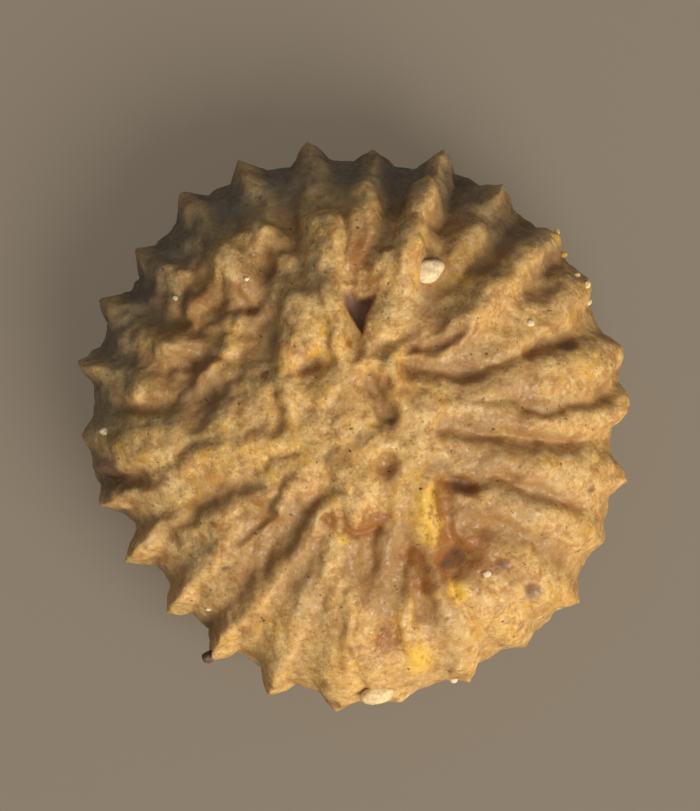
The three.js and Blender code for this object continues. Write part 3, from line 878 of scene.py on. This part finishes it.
fine = noise_socket(tree, place, 0.022, 5.0, 0.7)
domed = spread_range(tree, grain_distance, 0.0, 0.8, 1.0, 0.0)
fine_bump = bump_socket(tree, fine, BUMP_STRENGTH, BUMP_RISE)
grain_bump = bump_socket(tree, domed, BUMP_STRENGTH, BUMP_RISE, fine_bump)
tree.links.new(grain_bump, shader.inputs["Normal"])
tree.links.new(spread_range(tree, small_tones[2], 0.0, 1.0, 0.35, 0.9), shader.inputs["Roughness"])
shader.subsurface_method = "BURLEY"
soak_light(shader, **STONE_SOAK)
coral.data.materials.append(coral_stone)
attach(coral, "root")
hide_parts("coral")

# Sand grains
# A few grains of sand and shell cling to the top and the rim: a pale oval one by the pit, chips along
# the rim and one dark grain at the front left. Each is a small worn pebble, sunk nearly halfway in.
GRAIN_ROWS = 12
GRAIN_COLUMNS = 20
GRAIN_SINK = 0.45
GRAIN_SWELL = {"least": 0.75, "swell": 0.5, "size": 0.7}

# Each grain: place, half length, half width and half height in millimetres, turn in degrees, and tint.
SHELL_WHITE = (0.86, 0.68, 0.40)
SAND_PALE = (0.88, 0.64, 0.32)
SAND_YELLOW = (0.90, 0.52, 0.06)
SAND_CREAM = (0.84, 0.60, 0.28)
SAND_DARK = (0.09, 0.065, 0.045)
SAND_GRAINS = [
    (0.52, 1.11, 0.12, 0.085, 0.08, 12, SHELL_WHITE),
    (0.16, -1.91, 0.12, 0.08, 0.07, 8, SAND_PALE),
    (-1.045, -1.66, 0.05, 0.045, 0.04, 40, SAND_DARK),
    (0.94, -1.04, 0.03, 0.025, 0.02, 0, SHELL_WHITE),
    (1.25, 0.74, 0.028, 0.025, 0.02, 0, SHELL_WHITE),
    (1.67, 1.02, 0.03, 0.025, 0.025, 30, SAND_CREAM),
    (1.685, 0.895, 0.028, 0.02, 0.02, 70, SAND_CREAM),
    (1.60, 1.09, 0.03, 0.02, 0.02, 10, SAND_CREAM),
    (1.46, 1.40, 0.03, 0.02, 0.02, 60, SAND_CREAM),
    (1.51, 1.24, 0.03, 0.022, 0.02, 20, SAND_YELLOW),
    (-1.78, -0.03, 0.035, 0.03, 0.025, 0, SHELL_WHITE),
    (-1.27, 0.92, 0.02, 0.018, 0.015, 0, SHELL_WHITE),
    (-0.76, 1.05, 0.02, 0.016, 0.015, 0, SHELL_WHITE),
    (-1.04, -1.30, 0.022, 0.018, 0.015, 0, SHELL_WHITE),
    (0.72, -1.82, 0.03, 0.025, 0.02, 0, SHELL_WHITE),
]


def grain_mesh(centre, half_sizes, turn, seed):
    """A worn pebble: a sphere of latitude rows and longitude columns with its radius swelled by smooth
    noise, stretched to its half sizes, turned about the vertical and set on its place.
    Gives points, four-sided faces between the rows, and triangles round the two poles."""
    down = np.linspace(0, np.pi, GRAIN_ROWS + 1)[1:-1]
    around = np.arange(GRAIN_COLUMNS) * 2 * np.pi / GRAIN_COLUMNS
    down, around = (grid.ravel() for grid in np.meshgrid(down, around, indexing="ij"))
    ball = np.column_stack([np.sin(down) * np.cos(around), np.sin(down) * np.sin(around), np.cos(down)])
    ball = np.vstack([ball, [[0, 0, 1], [0, 0, -1]]])
    swell = drift(ball + 4, GRAIN_SWELL["size"], seed)
    ball *= (GRAIN_SWELL["least"] + GRAIN_SWELL["swell"] * swell)[:, None]
    stretched = ball * half_sizes
    angle = math.radians(turn)
    turned = np.column_stack([
        stretched[:, 0] * math.cos(angle) - stretched[:, 1] * math.sin(angle),
        stretched[:, 0] * math.sin(angle) + stretched[:, 1] * math.cos(angle),
        stretched[:, 2],
    ])
    ring = np.arange((GRAIN_ROWS - 1) * GRAIN_COLUMNS).reshape(GRAIN_ROWS - 1, GRAIN_COLUMNS)
    after = np.roll(ring, -1, axis=1)
    quads = np.stack([ring[:-1], ring[1:], after[1:], after[:-1]], axis=-1).reshape(-1, 4)
    north, south = ring.size, ring.size + 1
    caps = np.vstack([
        np.column_stack([np.full(GRAIN_COLUMNS, north), ring[0], after[0]]),
        np.column_stack([np.full(GRAIN_COLUMNS, south), after[-1], ring[-1]]),
    ])
    return turned + centre, quads, caps


top_points = points[: (TOP_CELLS + 1) ** 2] / MM
grain_points, grain_quads, grain_caps, grain_tints = [], [], [], []
start = 0
for seed, (x, y, length, width, rise, turn, tint) in enumerate(SAND_GRAINS):
    nearest = np.argmin((top_points[:, 0] - x) ** 2 + (top_points[:, 1] - y) ** 2)
    centre = np.array([x, y, top_points[nearest, 2] + rise * (1 - 2 * GRAIN_SINK)])
    made, sides, caps = grain_mesh(centre, np.array([length, width, rise]), turn, float(seed))
    grain_points.append(made * MM)
    grain_quads.append(sides + start)
    grain_caps.append(caps + start)
    grain_tints.append(np.tile([*tint, 1.0], (len(made), 1)))
    start += len(made)
sand = mesh_from("sand_grains", np.vstack(grain_points), np.vstack(grain_quads), np.vstack(grain_caps))
tint = sand.data.attributes.new("tint", "FLOAT_COLOR", "POINT")
tint.data.foreach_set("color", np.vstack(grain_tints).astype(np.float32).ravel())

SAND_BUMP_STRENGTH = 0.5
SAND_BUMP_RISE = 6e-6
SAND_SOAK = {"share": 0.3, "depth": 0.00005, "colour_reach": (1.0, 0.6, 0.3)}

sand_grain, tree, shader = new_material("sand_grain")
place = millimetre_place(tree)
own_tint = add_node(tree, "ShaderNodeAttribute", attribute_name="tint").outputs["Color"]
cloud = spread_range(tree, noise_socket(tree, place, 0.03), 0.45, 0.70, end=0.5)
tree.links.new(mixed(tree, cloud, own_tint, RUST_AND_CREASE_SHADE), shader.inputs["Base Color"])
dents = bump_socket(tree, noise_socket(tree, place, 0.02), SAND_BUMP_STRENGTH, SAND_BUMP_RISE)
tree.links.new(dents, shader.inputs["Normal"])
gloss = spread_range(tree, noise_socket(tree, place, 0.05, 2.0), 0.3, 0.7, 0.4, 0.7)
tree.links.new(gloss, shader.inputs["Roughness"])
soak_light(shader, **SAND_SOAK)
sand.data.materials.append(sand_grain)
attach(sand, "root")
